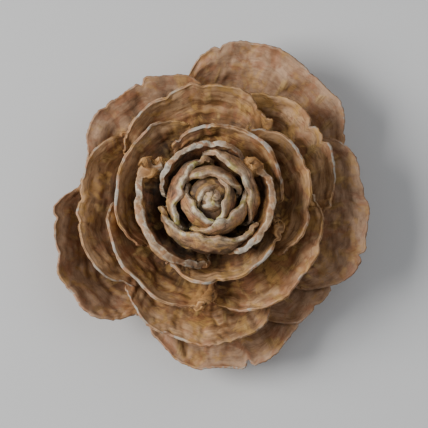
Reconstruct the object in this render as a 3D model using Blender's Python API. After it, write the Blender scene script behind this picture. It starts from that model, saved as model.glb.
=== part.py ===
"""Cedar rose: the tip of a deodar cedar cone, which falls in one piece when the rest of the cone breaks up.

A woody axis carries broad, thin seed scales in a spiral. The lowest scales spread like the outer
petals of a rose, the upper ones stand steeper, and the last ones close over the tip as a bud.
The cone stands on the broken end of its axis and on the bellies of three of its lowest scales.
Metres, +Z up along the axis, origin at the centre of the broken end of the axis.
"""

import math

import bmesh
import bpy
import numpy as np

MM = 0.001

# The whole cone
CONE_RADIUS = 34.0 * MM
CONE_HEIGHT = 33.0 * MM
SEED = 11

# The spiral: each scale stands one golden turn on from the scale below it. Counted from the lowest full
# turn, these are the numbers of the scales that the cone has kept. Of the turns below it two are left.
GOLDEN_TURN = math.radians(137.508)
FIRST_AZIMUTH = math.radians(-63.0)
KEPT = (-8, -5, *range(1, 27))
RESTING = (-8, 1, 2)
BELLY_GAP = 0.02 * MM
BELLY_CORE = 0.5

# The axis, a woody spindle broken off at the bottom, with the scars of scales that have fallen
AXIS_FOOT_RADIUS = 4.6 * MM
AXIS_TIP_RADIUS = 1.0 * MM
AXIS_HEIGHT = 31.5 * MM
AXIS_SIDES = 24
SCARRED_HEIGHT = 5.0 * MM
SCARRED_RINGS = 9
PLAIN_RINGS = 5
SCAR_COUNT = 9
SCAR_DEPTH = 0.5 * MM
SCAR_WIDTH = 2.0 * MM
SCAR_TALLNESS = 0.55 * MM

# Sizes and slopes along the spiral. STATION runs from 0, the lowest scale, to 1 at the last but one, and
# the very last scale is like that one. From 0.73 on the scales bend inwards and close as a bud.
TIP_PLACE = 26
STATION = (0.0, 0.12, 0.25, 0.4, 0.57, 0.61, 0.69, 0.73, 0.81, 0.85, 0.92, 0.96, 1.0)
RIM_RADIUS = CONE_RADIUS * np.array(
    (1.0, 0.96, 0.83, 0.624, 0.439, 0.398, 0.316, 0.226, 0.182, 0.134, 0.108, 0.080, 0.042)
)
RIM_HEIGHT = CONE_HEIGHT * np.array(
    (0.273, 0.394, 0.545, 0.697, 0.836, 0.860, 0.909, 0.925, 0.945, 0.965, 0.985, 0.995, 1.0)
)
HALF_WIDTH = CONE_RADIUS * np.array(
    (0.706, 0.676, 0.632, 0.574, 0.457, 0.430, 0.375, 0.278, 0.228, 0.178, 0.149, 0.120, 0.066)
)
CORNER_DROP = (0.34, 0.30, 0.26, 0.24, 0.265, 0.276, 0.297, 0.26, 0.26, 0.26, 0.26, 0.26, 0.26)
ROOT_SLOPE = (-24.0, -14.0, -4.0, 8.0, 24.0, 28.0, 37.0, 30.0, 34.0, 45.0, 55.0, 66.0, 76.0)
RIM_SLOPE = (12.0, 28.0, 46.0, 62.0, 84.0, 88.0, 88.0, 140.0, 142.0, 140.0, 140.0, 138.0, 135.0)
RIM_REACH = (0.34, 0.34, 0.34, 0.34, 0.34, 0.34, 0.34, 0.62, 0.62, 0.66, 0.66, 0.66, 0.60)
MARGIN_THICKNESS = MM * np.array(
    (0.9, 0.9, 0.95, 1.05, 1.1, 2.2, 1.6, 1.5, 1.5, 1.4, 1.3, 1.2, 1.1)
)
CLAW_THICKNESS = MM * np.array(
    (1.7, 1.7, 1.7, 1.7, 1.6, 1.7, 1.6, 1.5, 1.5, 1.3, 1.3, 1.1, 1.1)
)
LOWEST_ROOT = 4.2 * MM
HIGHEST_ROOT = 25.0 * MM
ROOT_SINK = 1.6 * MM
MOST_SINK = 0.6
ROOT_REACH = 0.36

# The outline of one scale, as shares of its length and width. A ripple is how fast it runs across the
# scale, how fast along it, and its share of the wave.
CORNER_POWER = 3.0
CLAW_WIDTH = 0.72
SHOULDER = 0.68
MARGIN_WIDTH = 0.93
THIN_FROM = 0.6
MARGIN_WAVE = 0.017
MARGIN_RIPPLES = ((5.0, 0.0, 1.0), (11.0, 0.0, 0.7))
FACE_WAVE = 0.35 * MM
FACE_RIPPLES = ((4.0, 0.0, 1.0), (7.0, 3.0, 0.6))

# How far single scales differ from the rule. The tight scales of the bud differ less. The middle one of
# each three in the bud, by its number, leans to one side, so that it tucks in under the one before it.
RADIUS_SPREAD = 0.35 * MM
HEIGHT_SPREAD = 0.4 * MM
AZIMUTH_SPREAD = math.radians(3.0)
SIDE_LEAN = (0.025, 0.025, 0.025, 0.03, 0.05, 0.06, 0.06, 0.0, 0.0, 0.0, 0.0, 0.0, 0.0)
BUD_LEAN = {19: 0.10, 22: 0.10, 25: 0.10}
EDGE_DROOP = 0.9 * MM
LOOSENESS = 1.8

# Scales that grew out of line with the rule, by their number: turned by so many degrees, so many
# millimetres further out, and so many times as wide
OUT_OF_LINE = {
    -8: (5.0, -1.9, 1.2),
    -5: (-6.0, -4.4, 0.9),
    1: (-12.0, 3.0, 1.16),
    2: (-12.0, 0.6, 1.0),
    3: (13.0, 0.4, 1.08),
    4: (4.0, 0.4, 1.0),
    5: (0.0, -1.6, 1.1),
    7: (-2.0, 1.8, 1.08),
    8: (5.0, 0.2, 1.08),
    9: (8.0, 2.2, 1.0),
    10: (-8.0, 1.6, 1.0),
    11: (4.0, 0.8, 1.0),
    12: (10.0, 2.4, 1.0),
    13: (7.0, -0.2, 1.05),
    14: (3.0, 0.9, 1.1),
    15: (6.0, 1.2, 1.05),
    16: (7.0, 0.2, 1.0),
    17: (-7.0, 0.5, 1.0),
    18: (8.0, 0.3, 1.1),
    19: (4.0, 0.0, 1.0),
    20: (-8.0, 0.0, 1.0),
    26: (0.0, -0.4, 0.7),
}
IN_LINE = (0.0, 0.0, 1.0)
RISE_WITH_REACH = 0.17

# The grid of each scale, with more columns on the wide low ones
ACROSS_LOW = 13
ACROSS_TIP = 6
ALONG = 6

BROWN = (0.159, 0.091, 0.048, 1.0)
ROUGHNESS = 0.78
SHARP_EDGE = math.radians(40.0)


def clear_scene():
    """Remove whatever the file opened with."""
    for obj in list(bpy.data.objects):
        bpy.data.objects.remove(obj, do_unlink=True)


def wood_material():
    """Weathered brown cone wood."""
    material = bpy.data.materials.new("cone_wood")
    material.use_nodes = True
    shader = material.node_tree.nodes["Principled BSDF"]
    shader.inputs["Base Color"].default_value = BROWN
    shader.inputs["Roughness"].default_value = ROUGHNESS
    shader.inputs["Metallic"].default_value = 0.0
    material.diffuse_color = BROWN
    return material


def axis_radius(height):
    """The axis tapers evenly from its broken foot to its tip."""
    return np.interp(height, (0.0, AXIS_HEIGHT), (AXIS_FOOT_RADIUS, AXIS_TIP_RADIUS))


def smooth(x):
    """0 up to x = 0, 1 from x = 1, and an even S between."""
    x = np.clip(x, 0.0, 1.0)
    return x * x * (3.0 - 2.0 * x)


def ripple(ripples, phases, u, s):
    """The sum of a scale's sine ripples at a place across it, u, and along it, s."""
    return sum(
        share * np.sin(across * u + along * s + phase)
        for (across, along, share), phase in zip(ripples, phases)
    )


def scale_numbers():
    """The driving numbers of every scale, lowest first: the rule of the spiral and its seeded differences."""
    draw = np.random.default_rng(SEED)
    numbers = []
    for place, number in enumerate(KEPT):
        t = min(1.0, place / TIP_PLACE)
        differ = draw.uniform(-1.0, 1.0, 4)
        phases = draw.uniform(0.0, 2.0 * math.pi, 4)
        loose = min(1.0, LOOSENESS * (1.0 - t))
        turned, further_out, wider = OUT_OF_LINE.get(number, IN_LINE)
        azimuth = FIRST_AZIMUTH + GOLDEN_TURN * number + math.radians(turned)
        rim_radius = np.interp(t, STATION, RIM_RADIUS)
        rim_height = np.interp(t, STATION, RIM_HEIGHT) + RISE_WITH_REACH * further_out * MM
        root_height = LOWEST_ROOT + (HIGHEST_ROOT - LOWEST_ROOT) * t
        root_radius = axis_radius(root_height)
        numbers.append(
            {
                "t": t,
                "azimuth": azimuth + AZIMUTH_SPREAD * differ[0] * loose,
                "rim_radius": rim_radius + further_out * MM + RADIUS_SPREAD * differ[1] * loose,
                "rim_height": rim_height + HEIGHT_SPREAD * differ[2] * loose,
                "root_radius": root_radius - min(ROOT_SINK, MOST_SINK * root_radius),
                "root_height": root_height,
                "root_slope": math.radians(np.interp(t, STATION, ROOT_SLOPE)),
                "rim_slope": math.radians(np.interp(t, STATION, RIM_SLOPE)),
                "half_angle": wider * np.interp(t, STATION, HALF_WIDTH) / rim_radius,
                "rim_reach": np.interp(t, STATION, RIM_REACH),
                "corner_drop": np.interp(t, STATION, CORNER_DROP),
                "claw_thickness": np.interp(t, STATION, CLAW_THICKNESS),
                "margin_thickness": np.interp(t, STATION, MARGIN_THICKNESS),
                "lean": np.interp(t, STATION, SIDE_LEAN) * differ[3] + BUD_LEAN.get(number, 0.0),
                "droop": EDGE_DROOP * (1.0 - t) ** 2,
                "wave": FACE_WAVE * loose,
                "phases": phases,
                "rests": number in RESTING,
            }
        )
    return numbers


def scale_sheet(scale, u, v):
    """The middle surface of a scale. u runs across it from -1 to 1, v along it from claw to margin, 0 to 1.

    A Bezier line in the plane through the axis gives radius and height along the scale. It is carried
    round the axis over the scale's own angle. The margin is an arc that falls back towards the corners.
    """
    margin_phases, face_phases = scale["phases"][:2], scale["phases"][2:]
    top = 1.0 - scale["corner_drop"] * np.abs(u) ** CORNER_POWER
    s = v * (top + MARGIN_WAVE * ripple(MARGIN_RIPPLES, margin_phases, u, 0.0) * v)
    start = np.array([scale["root_radius"], scale["root_height"]])
    end = np.array([scale["rim_radius"], scale["rim_height"]])
    reach = np.hypot(*(end - start))
    root_way = np.array([math.cos(scale["root_slope"]), math.sin(scale["root_slope"])])
    rim_way = np.array([math.cos(scale["rim_slope"]), math.sin(scale["rim_slope"])])
    near = start + ROOT_REACH * reach * root_way
    far = end - scale["rim_reach"] * reach * rim_way
    weights = ((1 - s) ** 3, 3 * s * (1 - s) ** 2, 3 * s * s * (1 - s), s**3)
    radius = sum(weight * point[0] for weight, point in zip(weights, (start, near, far, end)))
    height = sum(weight * point[1] for weight, point in zip(weights, (start, near, far, end)))
    widen = CLAW_WIDTH + (1.0 - CLAW_WIDTH) * smooth(v / SHOULDER)
    widen = widen - (1.0 - MARGIN_WIDTH) * smooth((v - SHOULDER) / (1.0 - SHOULDER))
    angle = scale["azimuth"] + u * widen * scale["half_angle"]
    radius = radius * (1.0 + scale["lean"] * u * s)
    height = height + scale["wave"] * ripple(FACE_RIPPLES, face_phases, u, s) * s * s
    height = height - scale["droop"] * u * u * s
    return np.stack([radius * np.cos(angle), radius * np.sin(angle), height], axis=-1)


def scale_thickness(scale, v):
    """Thick at the claw, thinning evenly to the margin's thickness."""
    share = smooth(v / THIN_FROM)
    return scale["claw_thickness"] + (scale["margin_thickness"] - scale["claw_thickness"]) * share


def rest_on_surface(points, u, v, thickness):
    """Bend a resting scale's belly down until the lowest point of its back is at the height of the foot."""
    belly = np.sin(math.pi * v) * (1.0 - u * u)
    back = points[..., 2] - thickness / 2 - BELLY_GAP
    core = belly > BELLY_CORE
    points[..., 2] -= (back[core] / belly[core]).min() * belly
    return points


def build_scale(name, scale, collection):
    """One scale: its middle surface in triangles, thickened by a Solidify that thins towards the margin."""
    columns = round(ACROSS_LOW + (ACROSS_TIP - ACROSS_LOW) * scale["t"])
    u, v = np.meshgrid(np.linspace(-1, 1, columns + 1), np.linspace(0, 1, ALONG + 1))
    points = scale_sheet(scale, u, v)
    thickness = scale_thickness(scale, v)
    if scale["rests"]:
        points = rest_on_surface(points, u, v, thickness)
    shape = bmesh.new()
    grid = [[shape.verts.new(points[j, i]) for i in range(columns + 1)] for j in range(ALONG + 1)]
    for j in range(ALONG):
        for i in range(columns):
            a, b, c, d = grid[j][i], grid[j][i + 1], grid[j + 1][i + 1], grid[j + 1][i]
            halves = ((a, b, c), (a, c, d)) if i < columns / 2 else ((a, b, d), (b, c, d))
            for corners in halves:
                shape.faces.new(corners)
    mesh = bpy.data.meshes.new(name)
    shape.to_mesh(mesh)
    shape.free()
    obj = bpy.data.objects.new(name, mesh)
    collection.objects.link(obj)
    thick = obj.vertex_groups.new(name="thick")
    for vertex, share in enumerate((thickness / scale["claw_thickness"]).ravel()):
        thick.add([vertex], float(share), "REPLACE")
    wood = obj.modifiers.new("wood", "SOLIDIFY")
    wood.thickness = scale["claw_thickness"]
    wood.offset = 0.0
    wood.vertex_group = "thick"
    return obj


def scar_relief(height, turn):
    """How far the scars of fallen scales stand out of the axis: small bosses, in the same spiral."""
    relief = np.zeros_like(turn)
    for k in range(1, SCAR_COUNT + 1):
        scar_height = SCARRED_HEIGHT * (1.0 - k / (SCAR_COUNT + 1))
        aside = (turn - FIRST_AZIMUTH + GOLDEN_TURN * k + math.pi) % (2.0 * math.pi) - math.pi
        across = aside * AXIS_FOOT_RADIUS / SCAR_WIDTH
        up = (height - scar_height) / SCAR_TALLNESS
        relief = relief + SCAR_DEPTH * np.exp(-(across**4) - up * up)
    return relief


def build_axis():
    """The axis: a tapered spindle with a flat broken foot, scarred below its scales."""
    scarred = np.linspace(0.0, SCARRED_HEIGHT, SCARRED_RINGS)
    plain = np.linspace(SCARRED_HEIGHT, AXIS_HEIGHT, PLAIN_RINGS + 1)[1:]
    turns = np.linspace(0.0, 2.0 * math.pi, AXIS_SIDES, endpoint=False)
    shape = bmesh.new()
    rings = []
    for height in np.concatenate([scarred, plain]):
        radius = axis_radius(height) + scar_relief(height, turns)
        places = np.stack([radius * np.cos(turns), radius * np.sin(turns), np.full_like(turns, height)])
        rings.append([shape.verts.new(place) for place in places.T])
    for low, high in zip(rings, rings[1:]):
        for k in range(AXIS_SIDES):
            n = (k + 1) % AXIS_SIDES
            shape.faces.new((low[k], low[n], high[n], high[k]))
    shape.faces.new(list(reversed(rings[0])))
    shape.faces.new(rings[-1])
    mesh = bpy.data.meshes.new("cone")
    shape.to_mesh(mesh)
    shape.free()
    obj = bpy.data.objects.new("cone", mesh)
    bpy.context.scene.collection.objects.link(obj)
    return obj


def fuse(axis, scales):
    """Join the scales to the axis that they grow from, as one body, and remove the separate ones."""
    union = axis.modifiers.new("grown_together", "BOOLEAN")
    union.operation = "UNION"
    union.operand_type = "COLLECTION"
    union.collection = scales
    union.solver = "EXACT"
    bpy.context.view_layer.update()
    graph = bpy.context.evaluated_depsgraph_get()
    mesh = bpy.data.meshes.new_from_object(axis.evaluated_get(graph))
    axis.modifiers.clear()
    axis.data = mesh
    for obj in list(scales.objects):
        bpy.data.objects.remove(obj, do_unlink=True)
    bpy.data.collections.remove(scales)


def fill_pockets(cone):
    """Make the cone solid where tight scales of the bud seal a pocket in between them.

    The walls of a pocket touch no other face of the mesh, so the faces fall into connected groups. The
    largest group is the outside of the cone, and the others are taken out.
    """
    shape = bmesh.new()
    shape.from_mesh(cone.data)
    left = set(shape.faces)
    groups = []
    while left:
        group = []
        front = [left.pop()]
        while front:
            face = front.pop()
            group.append(face)
            beside = {other for edge in face.edges for other in edge.link_faces} & left
            left -= beside
            front.extend(beside)
        groups.append(group)
    groups.sort(key=len)
    walls = [face for group in groups[:-1] for face in group]
    bmesh.ops.delete(shape, geom=walls, context="FACES")
    shape.to_mesh(cone.data)
    shape.free()


def main():
    """Grow the scales and the axis, and fuse them into the one cone."""
    clear_scene()
    scales = bpy.data.collections.new("scales")
    bpy.context.scene.collection.children.link(scales)
    for place, scale in enumerate(scale_numbers()):
        build_scale(f"scale_{place:02d}", scale, scales)
    cone = build_axis()
    fuse(cone, scales)
    fill_pockets(cone)
    cone.data.materials.clear()
    cone.data.materials.append(wood_material())
    cone.data.shade_smooth()
    cone.data.set_sharp_from_angle(angle=SHARP_EDGE)


main()
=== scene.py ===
# %% [markdown]
# # A cedar rose
# The tip of a deodar cedar cone falls in one piece, and it looks like a rose carved from wood. This
# script dresses a plain solid of it, which is loaded first and shows where everything is. Then each
# scale is worked out again by the same rule, as a fine surface with the look of dry, weathered wood.

# %% Load the plain solid
import math
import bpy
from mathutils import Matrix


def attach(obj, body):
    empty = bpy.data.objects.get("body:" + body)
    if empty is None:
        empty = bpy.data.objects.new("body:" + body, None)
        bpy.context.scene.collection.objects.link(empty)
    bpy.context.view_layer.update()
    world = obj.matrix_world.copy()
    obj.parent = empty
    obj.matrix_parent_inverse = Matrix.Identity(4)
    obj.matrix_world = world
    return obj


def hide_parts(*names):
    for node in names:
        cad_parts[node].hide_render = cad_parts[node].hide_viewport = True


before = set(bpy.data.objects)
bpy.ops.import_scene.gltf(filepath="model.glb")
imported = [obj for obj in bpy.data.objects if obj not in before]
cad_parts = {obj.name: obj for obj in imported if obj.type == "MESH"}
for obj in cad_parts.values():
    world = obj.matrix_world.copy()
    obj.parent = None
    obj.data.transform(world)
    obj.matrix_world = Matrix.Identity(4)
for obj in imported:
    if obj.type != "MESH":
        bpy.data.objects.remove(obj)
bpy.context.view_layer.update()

from types import SimpleNamespace

import bpy
import mathutils
import numpy as np

# %% [markdown]
# ## The rule of the spiral
# Scales grow round the axis one after the other, each a golden turn of 137.5 degrees on from the last.
# They could be placed by hand, but a rule is shorter and looks grown. Sizes are read from short rows of
# numbers along the spiral, from the lowest scale at 0 to the tip at 1. A seeded draw gives each scale
# small differences, the same ones at each run.

# %% Sizes along the spiral
MM = 0.001
CONE_RADIUS = 34.0 * MM
CONE_HEIGHT = 33.0 * MM
SEED = 11
GOLDEN_TURN = math.radians(137.508)
FIRST_AZIMUTH = math.radians(-63.0)
KEPT = (-8, -5, *range(1, 27))
TIP_PLACE = 26
RESTING = (-8, 1, 2)
AXIS_FOOT_RADIUS, AXIS_TIP_RADIUS, AXIS_HEIGHT = 4.6 * MM, 1.0 * MM, 31.5 * MM

STATION = (0.0, 0.12, 0.25, 0.4, 0.57, 0.61, 0.69, 0.73, 0.81, 0.85, 0.92, 0.96, 1.0)
RIM_RADIUS = (1.0, 0.96, 0.83, 0.624, 0.439, 0.398, 0.316, 0.226, 0.182, 0.134, 0.108, 0.080, 0.042)
RIM_HEIGHT = (0.273, 0.394, 0.545, 0.697, 0.836, 0.860, 0.909, 0.925, 0.945, 0.965, 0.985, 0.995, 1.0)
HALF_WIDTH = (0.706, 0.676, 0.632, 0.574, 0.457, 0.430, 0.375, 0.278, 0.228, 0.178, 0.149, 0.120, 0.066)
CORNER_DROP = (0.34, 0.30, 0.26, 0.24, 0.265, 0.276, 0.297, 0.26, 0.26, 0.26, 0.26, 0.26, 0.26)
ROOT_SLOPE = (-24.0, -14.0, -4.0, 8.0, 24.0, 28.0, 37.0, 30.0, 34.0, 45.0, 55.0, 66.0, 76.0)
RIM_SLOPE = (12.0, 28.0, 46.0, 62.0, 84.0, 88.0, 88.0, 140.0, 142.0, 140.0, 140.0, 138.0, 135.0)
RIM_REACH = (0.34, 0.34, 0.34, 0.34, 0.34, 0.34, 0.34, 0.62, 0.62, 0.66, 0.66, 0.66, 0.60)
MARGIN_THICKNESS = (0.9, 0.9, 0.95, 1.05, 1.1, 2.2, 1.6, 1.5, 1.5, 1.4, 1.3, 1.2, 1.1)
CLAW_THICKNESS = (1.7, 1.7, 1.7, 1.7, 1.6, 1.7, 1.6, 1.5, 1.5, 1.3, 1.3, 1.1, 1.1)
LOWEST_ROOT, HIGHEST_ROOT = 4.2 * MM, 25.0 * MM
ROOT_SINK, MOST_SINK = 1.6 * MM, 0.6

RADIUS_SPREAD, HEIGHT_SPREAD = 0.35 * MM, 0.4 * MM
AZIMUTH_SPREAD = math.radians(3.0)
SIDE_LEAN = (0.025, 0.025, 0.025, 0.03, 0.05, 0.06, 0.06, 0.0, 0.0, 0.0, 0.0, 0.0, 0.0)
BUD_LEAN = {19: 0.10, 22: 0.10, 25: 0.10}
EDGE_DROOP, FACE_WAVE, LOOSENESS = 0.9 * MM, 0.35 * MM, 1.8
FULL_RELIEF_FROM = 16.0 * MM

# Scales out of line with the rule: turned by degrees, further out by millimetres, so many times as wide
OUT_OF_LINE = {
    -8: (5.0, -1.9, 1.2), -5: (-6.0, -4.4, 0.9), 1: (-12.0, 3.0, 1.16), 2: (-12.0, 0.6, 1.0),
    3: (13.0, 0.4, 1.08), 4: (4.0, 0.4, 1.0), 5: (0.0, -1.6, 1.1), 7: (-2.0, 1.8, 1.08),
    8: (5.0, 0.2, 1.08), 9: (8.0, 2.2, 1.0), 10: (-8.0, 1.6, 1.0), 11: (4.0, 0.8, 1.0),
    12: (10.0, 2.4, 1.0), 13: (7.0, -0.2, 1.05), 14: (3.0, 0.9, 1.1), 15: (6.0, 1.2, 1.05),
    16: (7.0, 0.2, 1.0), 17: (-7.0, 0.5, 1.0), 18: (8.0, 0.3, 1.1), 19: (4.0, 0.0, 1.0),
    20: (-8.0, 0.0, 1.0), 26: (0.0, -0.4, 0.7),
}
IN_LINE = (0.0, 0.0, 1.0)
RISE_WITH_REACH = 0.17


def axis_radius(height):
    """The axis tapers evenly from its broken foot to its tip."""
    return np.interp(height, (0.0, AXIS_HEIGHT), (AXIS_FOOT_RADIUS, AXIS_TIP_RADIUS))


def read(row, t, unit=1.0):
    """A row's value at t, on straight lines between its stations."""
    return np.interp(t, STATION, np.array(row) * unit)


def scale_numbers():
    """The driving numbers of every scale, lowest first: the rule, and its seeded differences."""
    draw = np.random.default_rng(SEED)
    numbers = []
    for place, number in enumerate(KEPT):
        t = min(1.0, place / TIP_PLACE)
        differ = draw.uniform(-1.0, 1.0, 4)
        phases = draw.uniform(0.0, math.tau, 4)
        loose = min(1.0, LOOSENESS * (1.0 - t))
        turned, further_out, wider = OUT_OF_LINE.get(number, IN_LINE)
        azimuth = FIRST_AZIMUTH + GOLDEN_TURN * number + math.radians(turned)
        rim_radius = read(RIM_RADIUS, t, CONE_RADIUS)
        rim_height = read(RIM_HEIGHT, t, CONE_HEIGHT) + RISE_WITH_REACH * further_out * MM
        half_width = wider * read(HALF_WIDTH, t, CONE_RADIUS)
        root_height = LOWEST_ROOT + (HIGHEST_ROOT - LOWEST_ROOT) * t
        root_radius = axis_radius(root_height)
        numbers.append(SimpleNamespace(
            place=place,
            number=number,
            t=t,
            azimuth=azimuth + AZIMUTH_SPREAD * differ[0] * loose,
            rim_radius=rim_radius + further_out * MM + RADIUS_SPREAD * differ[1] * loose,
            rim_height=rim_height + HEIGHT_SPREAD * differ[2] * loose,
            root_radius=root_radius - min(ROOT_SINK, MOST_SINK * root_radius),
            root_height=root_height,
            root_slope=math.radians(read(ROOT_SLOPE, t)),
            rim_slope=math.radians(read(RIM_SLOPE, t)),
            half_width=half_width,
            half_angle=half_width / rim_radius,
            rim_reach=read(RIM_REACH, t),
            corner_drop=read(CORNER_DROP, t),
            claw_thickness=read(CLAW_THICKNESS, t, MM),
            margin_thickness=read(MARGIN_THICKNESS, t, MM),
            lean=read(SIDE_LEAN, t) * differ[3] + BUD_LEAN.get(number, 0.0),
            droop=EDGE_DROOP * (1.0 - t) ** 2,
            wave=FACE_WAVE * loose,
            phases=phases,
            rests=number in RESTING,
            size=min(1.0, half_width / FULL_RELIEF_FROM),
        ))
    return numbers


scales = scale_numbers()
widest = 2.0 * max(scale.half_width for scale in scales)
print(len(scales), "scales, the widest", round(widest / MM, 1), "mm wide")

# %% [markdown]
# ## Roughness from sums of waves
# Nothing on a dry cone is smooth. A noise texture could roughen it, but sums of sine waves are easy to
# aim along or across a scale. A named row of waves gives their number, the longest, the shortest and,
# where they have a grain, how far they may slant. A pair for a rise gives its start and its length.

# %% Helpers for smooth steps and sums of waves
WAVE_FALL = 0.7


def rise(x, start=0.0, length=1.0):
    """0 up to start, 1 a length further on, and an even S between: three x squared less two x cubed."""
    x = np.clip((x - start) / length, 0.0, 1.0)
    return x * x * (3.0 - 2.0 * x)


def ripple(ripples, phases, u, s):
    """The sum of a scale's sine ripples at a place across it, u, and along it, s."""
    return sum(
        share * np.sin(across * u + along * s + phase)
        for (across, along, share), phase in zip(ripples, phases)
    )


def waves(draw, x, y, count, longest, shortest, slant):
    """A rough line or surface: the sum of count sine waves across x, each drifting a little with y.

    Wavelengths run evenly in ratio, and a wave's height goes with its length to the power 0.7. The sum
    is divided by the root of the sum of the squared heights, so more waves don't make it stronger.
    """
    lengths = np.geomspace(longest, shortest, count)
    heights = (lengths / longest) ** WAVE_FALL
    total = np.zeros(np.broadcast(x, y).shape)
    for length, height in zip(lengths, heights):
        phase, drift = draw.uniform(0.0, math.tau), draw.uniform(-slant, slant)
        total = total + height * np.sin(math.tau * (x + drift * y) / length + phase)
    return total / np.sqrt((heights**2).sum())


def all_ways(draw, x, y, count, longest, shortest):
    """A rough surface with no grain: a sum of sine waves as above, but each in a direction of its own,
    and with heights that go with the length itself."""
    lengths = np.geomspace(longest, shortest, count)
    total = np.zeros(np.broadcast(x, y).shape)
    for length in lengths:
        way, phase = draw.uniform(0.0, math.tau, 2)
        along = x * math.cos(way) + y * math.sin(way)
        total = total + length / longest * np.sin(math.tau * along / length + phase)
    return total / np.sqrt(((lengths / longest) ** 2).sum())


# %% [markdown]
# ## A margin that has weathered
# The margin of a cone scale is never a clean arc. It is slightly ragged, a few chips are out of it, and
# its corners are frayed where the scales rubbed. A transparent edge could fake that. Here it is real
# shape, added to the outline before the surface is worked out.

# %% The ragged margin
RAGGED, RAGGED_WAVES = 0.15 * MM, (9, 9.0 * MM, 0.6 * MM, 0.0)
FRAYED_FROM, FRAYED = 0.74, 4.0
MOST_CHIPS, CHIP_SPAN, CHIP_POWER = 4, 0.95, 1.5
CHIP_DEPTHS, CHIP_WIDTHS = (0.3 * MM, 1.3 * MM), (0.35 * MM, 1.3 * MM)


def ragged_margin(draw, scale, u):
    """How far the margin stands out of its even arc at u, in metres.

    Rough waves that grow towards the frayed corners, less a few chips. A chip is a notch whose depth
    falls off as e to the minus its distance in widths, to the power 1.5.
    """
    x = u * scale.half_width
    frayed = 1.0 + FRAYED * rise(np.abs(u), FRAYED_FROM, 1.0 - FRAYED_FROM)
    out = RAGGED * scale.size * frayed * waves(draw, x, 0.0, *RAGGED_WAVES)
    for _ in range(draw.integers(1, MOST_CHIPS + 1)):
        where = draw.uniform(-CHIP_SPAN, CHIP_SPAN) * scale.half_width
        depth, width = draw.uniform(*CHIP_DEPTHS) * scale.size, draw.uniform(*CHIP_WIDTHS)
        out = out - depth * np.exp(-((np.abs(x - where) / width) ** CHIP_POWER))
    return out


# %% [markdown]
# ## The sheet of a scale
# A scale is a thin cupped sheet on a narrow claw. Its middle surface is a function of two parameters:
# u runs across it from -1 to 1, and v along it from the claw at 0 to the margin at 1. A Bezier line
# gives radius and height, and carrying it round the axis makes the cup. A sculpted mesh could be freer,
# but the formula keeps every scale where the plain solid has it.

# %% The middle surface
CORNER_POWER, SIDE_POWER = 3.0, 3
CLAW_WIDTH, SHOULDER, MARGIN_WIDTH = 0.72, 0.68, 0.93
MARGIN_WAVE = 0.017
MARGIN_RIPPLES = ((5.0, 0.0, 1.0), (11.0, 0.0, 0.7))
FACE_RIPPLES = ((4.0, 0.0, 1.0), (7.0, 3.0, 0.6))
ROOT_REACH = 0.36


def scale_sheet(scale, u, v, ragged, sides):
    """The middle surface of a scale, with its ragged outline, and s, the share of the full length.

    Radius and height at s follow a cubic Bezier line from the root to the rim. The azimuth is that of
    the scale plus u times its half angle, which is narrower at the claw and a little at the margin.
    """
    margin_phases, face_phases = scale.phases[:2], scale.phases[2:]
    start = np.array([scale.root_radius, scale.root_height])
    end = np.array([scale.rim_radius, scale.rim_height])
    reach = np.hypot(*(end - start))
    top = 1.0 - scale.corner_drop * np.abs(u) ** CORNER_POWER
    top = top + MARGIN_WAVE * ripple(MARGIN_RIPPLES, margin_phases, u, 0.0) * v
    s = v * (top + ragged / reach * v**3)
    root_way = np.array([math.cos(scale.root_slope), math.sin(scale.root_slope)])
    rim_way = np.array([math.cos(scale.rim_slope), math.sin(scale.rim_slope)])
    near = start + ROOT_REACH * reach * root_way
    far = end - scale.rim_reach * reach * rim_way
    weights = ((1 - s) ** 3, 3 * s * (1 - s) ** 2, 3 * s * s * (1 - s), s**3)
    radius, height = (
        sum(weight * point[k] for weight, point in zip(weights, (start, near, far, end)))
        for k in range(2)
    )
    widen = CLAW_WIDTH + (1.0 - CLAW_WIDTH) * rise(v, 0.0, SHOULDER)
    widen = widen - (1.0 - MARGIN_WIDTH) * rise(v, SHOULDER, 1.0 - SHOULDER)
    spread = widen * scale.half_angle * (1.0 + sides * np.abs(u) ** SIDE_POWER)
    angle = scale.azimuth + u * spread
    radius = radius * (1.0 + scale.lean * u * s)
    height = height + scale.wave * ripple(FACE_RIPPLES, face_phases, u, s) * s * s
    height = height - scale.droop * u * u * s
    return np.stack([radius * np.cos(angle), radius * np.sin(angle), height], axis=-1), s


# %% [markdown]
# ## Fibres, bands, creases and hollows
# Wood fibres fan out from the claw as fine ridges, low swells follow the margin, and a net of creases
# lies over both. On its upper face each scale once carried two winged seeds, which left two shallow
# hollows. A bump texture could show all this, but real relief also holds in a side view.

# %% Relief of the two faces
FIBRE_FRONT, FIBRE_BACK, BAND = 0.03 * MM, 0.08 * MM, 0.10 * MM
FIBRE_WAVES, FIBRE_PATCHES = (10, 2.4 * MM, 0.75 * MM, 0.12), (4, 14.0 * MM, 4.0 * MM, 0.3)
FIBRE_MEAN, FIBRE_SPREAD, FIBRE_FROM = 0.55, 0.45, 0.3
BAND_WAVES, BAND_PATCHES = (9, 5.0 * MM, 1.5 * MM, 0.2), (4, 22.0 * MM, 9.0 * MM)
BAND_MEAN, BAND_SPREAD = 0.6, 0.5
HOLLOW_DEPTH, HOLLOW_ACROSS, HOLLOW_ALONG = 0.34 * MM, 0.40, 0.56
HOLLOW_WIDE, HOLLOW_LONG = 0.30, 0.33
CREASE_DEPTH, CREASE_WIDTH, CREASE_CLEAR = 0.20 * MM, 0.24, 1.2 * MM
CREASES_ALONG, CREASES_ANY_WAY = (5, 11.0 * MM, 4.0 * MM, 0.35), (8, 15.0 * MM, 5.0 * MM)
CREASE_STRETCH, CREASE_PATCHES = 0.5, (4, 14.0 * MM, 7.0 * MM)
FAINT_CREASE, CREASE_GIVES_WAY = 0.3, 0.6


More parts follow.
